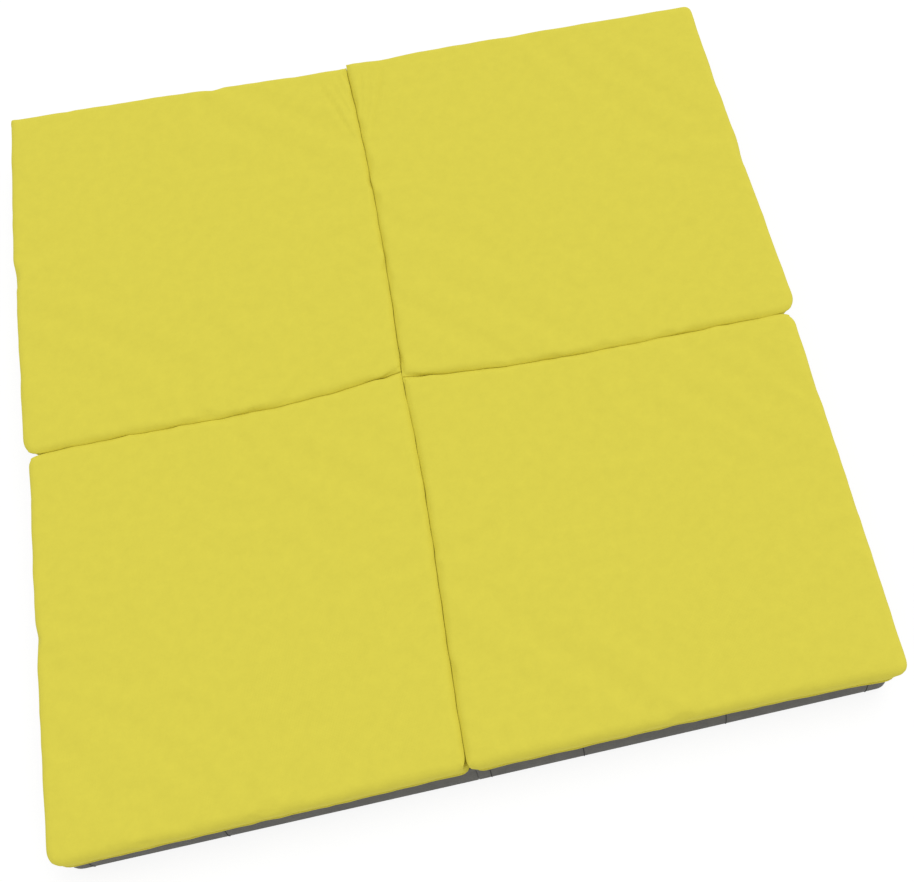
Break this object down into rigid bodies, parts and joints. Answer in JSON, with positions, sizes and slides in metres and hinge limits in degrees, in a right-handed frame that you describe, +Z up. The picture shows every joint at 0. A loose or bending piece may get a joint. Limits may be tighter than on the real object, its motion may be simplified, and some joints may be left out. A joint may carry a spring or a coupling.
{
  "type": "folding foam sleeping pad",
  "caption": "Square foam sleeping pad of padded panels in fabric covers, yellow above and grey below, which folds along fabric hinges into a flat stack",
  "frame": {"origin": "middle of the underside of the opened pad", "axes": "+Z up out of the lying surface, +Y towards the back edge, +X to the right"},
  "size_m": [1.2096, 1.202, 0.0901],
  "materials": {
    "yellow_cover": "soft matte woven cover, fine weave",
    "grey_base": "matte grey coated base fabric",
    "seam_binding": "folded and stitched seam edge",
    "yellow_web": "doubled cover fabric",
    "grey_web": "doubled base fabric",
    "comfort_foam": "open-cell polyurethane foam",
    "base_foam": "firmer closed-cell foam",
    "zip_tape": "woven zip tape",
    "zip_coil": "nylon coil",
    "zip_metal": "dark lacquered zinc"
  },
  "bodies": {
    "panel_rear_left": {"rear_left_comfort_foam": "comfort_foam", "rear_left_base_foam": "base_foam", "rear_left_top_cover": "yellow_cover", "rear_left_base_cover": "grey_base", "rear_left_seam_lip": "seam_binding", "rear_left_zip_tape_upper": "zip_tape", "rear_left_zip_tape_lower": "zip_tape", "rear_left_zip_coil": "zip_coil", "rear_hinge_web_left": "yellow_web", "left_hinge_web_rear": "grey_web"},
    "slider_rear_left": {"rear_left_zip_slider": "zip_metal"},
    "pull_rear_left": {"rear_left_zip_pull": "zip_metal"},
    "panel_rear_right": {"rear_right_comfort_foam": "comfort_foam", "rear_right_base_foam": "base_foam", "rear_right_top_cover": "yellow_cover", "rear_right_base_cover": "grey_base", "rear_right_seam_lip": "seam_binding", "rear_right_zip_tape_upper": "zip_tape", "rear_right_zip_tape_lower": "zip_tape", "rear_right_zip_coil": "zip_coil", "rear_hinge_web_right": "yellow_web", "right_hinge_web_rear": "grey_web"},
    "slider_rear_right": {"rear_right_zip_slider": "zip_metal"},
    "pull_rear_right": {"rear_right_zip_pull": "zip_metal"},
    "panel_front_left": {"front_left_comfort_foam": "comfort_foam", "front_left_base_foam": "base_foam", "front_left_top_cover": "yellow_cover", "front_left_base_cover": "grey_base", "front_left_seam_lip": "seam_binding", "front_left_zip_tape_upper": "zip_tape", "front_left_zip_tape_lower": "zip_tape", "front_left_zip_coil": "zip_coil", "left_hinge_web_front": "grey_web"},
    "slider_front_left": {"front_left_zip_slider": "zip_metal"},
    "pull_front_left": {"front_left_zip_pull": "zip_metal"},
    "panel_front_right": {"front_right_comfort_foam": "comfort_foam", "front_right_base_foam": "base_foam", "front_right_top_cover": "yellow_cover", "front_right_base_cover": "grey_base", "front_right_seam_lip": "seam_binding", "front_right_zip_tape_upper": "zip_tape", "front_right_zip_tape_lower": "zip_tape", "front_right_zip_coil": "zip_coil", "right_hinge_web_front": "grey_web"},
    "slider_front_right": {"front_right_zip_slider": "zip_metal"},
    "pull_front_right": {"front_right_zip_pull": "zip_metal"}
  },
  "joints": [
    {"name": "rear_fold", "type": "hinge", "parent": "panel_rear_left", "child": "panel_rear_right", "pos_m": [0, 0.301, 0.0903], "axis": [0, -1, 0], "range_deg": [0, 180]},
    {"name": "left_fold", "type": "hinge", "parent": "panel_rear_left", "child": "panel_front_left", "pos_m": [-0.301, 0, -0.0003], "axis": [1, 0, 0], "range_deg": [0, 180]},
    {"name": "right_fold", "type": "hinge", "parent": "panel_rear_right", "child": "panel_front_right", "pos_m": [0.301, 0, -0.0003], "axis": [1, 0, 0], "range_deg": [0, 180]},
    {"name": "zip_run_rear_left", "type": "slide", "parent": "panel_rear_left", "child": "slider_rear_left", "axis": [0, -1, 0], "range_m": [0, 0.4844]},
    {"name": "zip_pull_rear_left", "type": "hinge", "parent": "slider_rear_left", "child": "pull_rear_left", "pos_m": [-0.60335, 0.5432, 0.026], "axis": [0, 0, -1], "range_deg": [0, 180]},
    {"name": "zip_run_rear_right", "type": "slide", "parent": "panel_rear_right", "child": "slider_rear_right", "axis": [0, -1, 0], "range_m": [0, 0.4844]},
    {"name": "zip_pull_rear_right", "type": "hinge", "parent": "slider_rear_right", "child": "pull_rear_right", "pos_m": [0.60335, 0.5432, 0.026], "axis": [0, 0, 1], "range_deg": [0, 180]},
    {"name": "zip_run_front_left", "type": "slide", "parent": "panel_front_left", "child": "slider_front_left", "axis": [0, -1, 0], "range_m": [0, 0.4844]},
    {"name": "zip_pull_front_left", "type": "hinge", "parent": "slider_front_left", "child": "pull_front_left", "pos_m": [-0.60335, -0.0588, 0.026], "axis": [0, 0, -1], "range_deg": [0, 180]},
    {"name": "zip_run_front_right", "type": "slide", "parent": "panel_front_right", "child": "slider_front_right", "axis": [0, -1, 0], "range_m": [0, 0.4844]},
    {"name": "zip_pull_front_right", "type": "hinge", "parent": "slider_front_right", "child": "pull_front_right", "pos_m": [0.60335, -0.0588, 0.026], "axis": [0, 0, 1], "range_deg": [0, 180]}
  ]
}
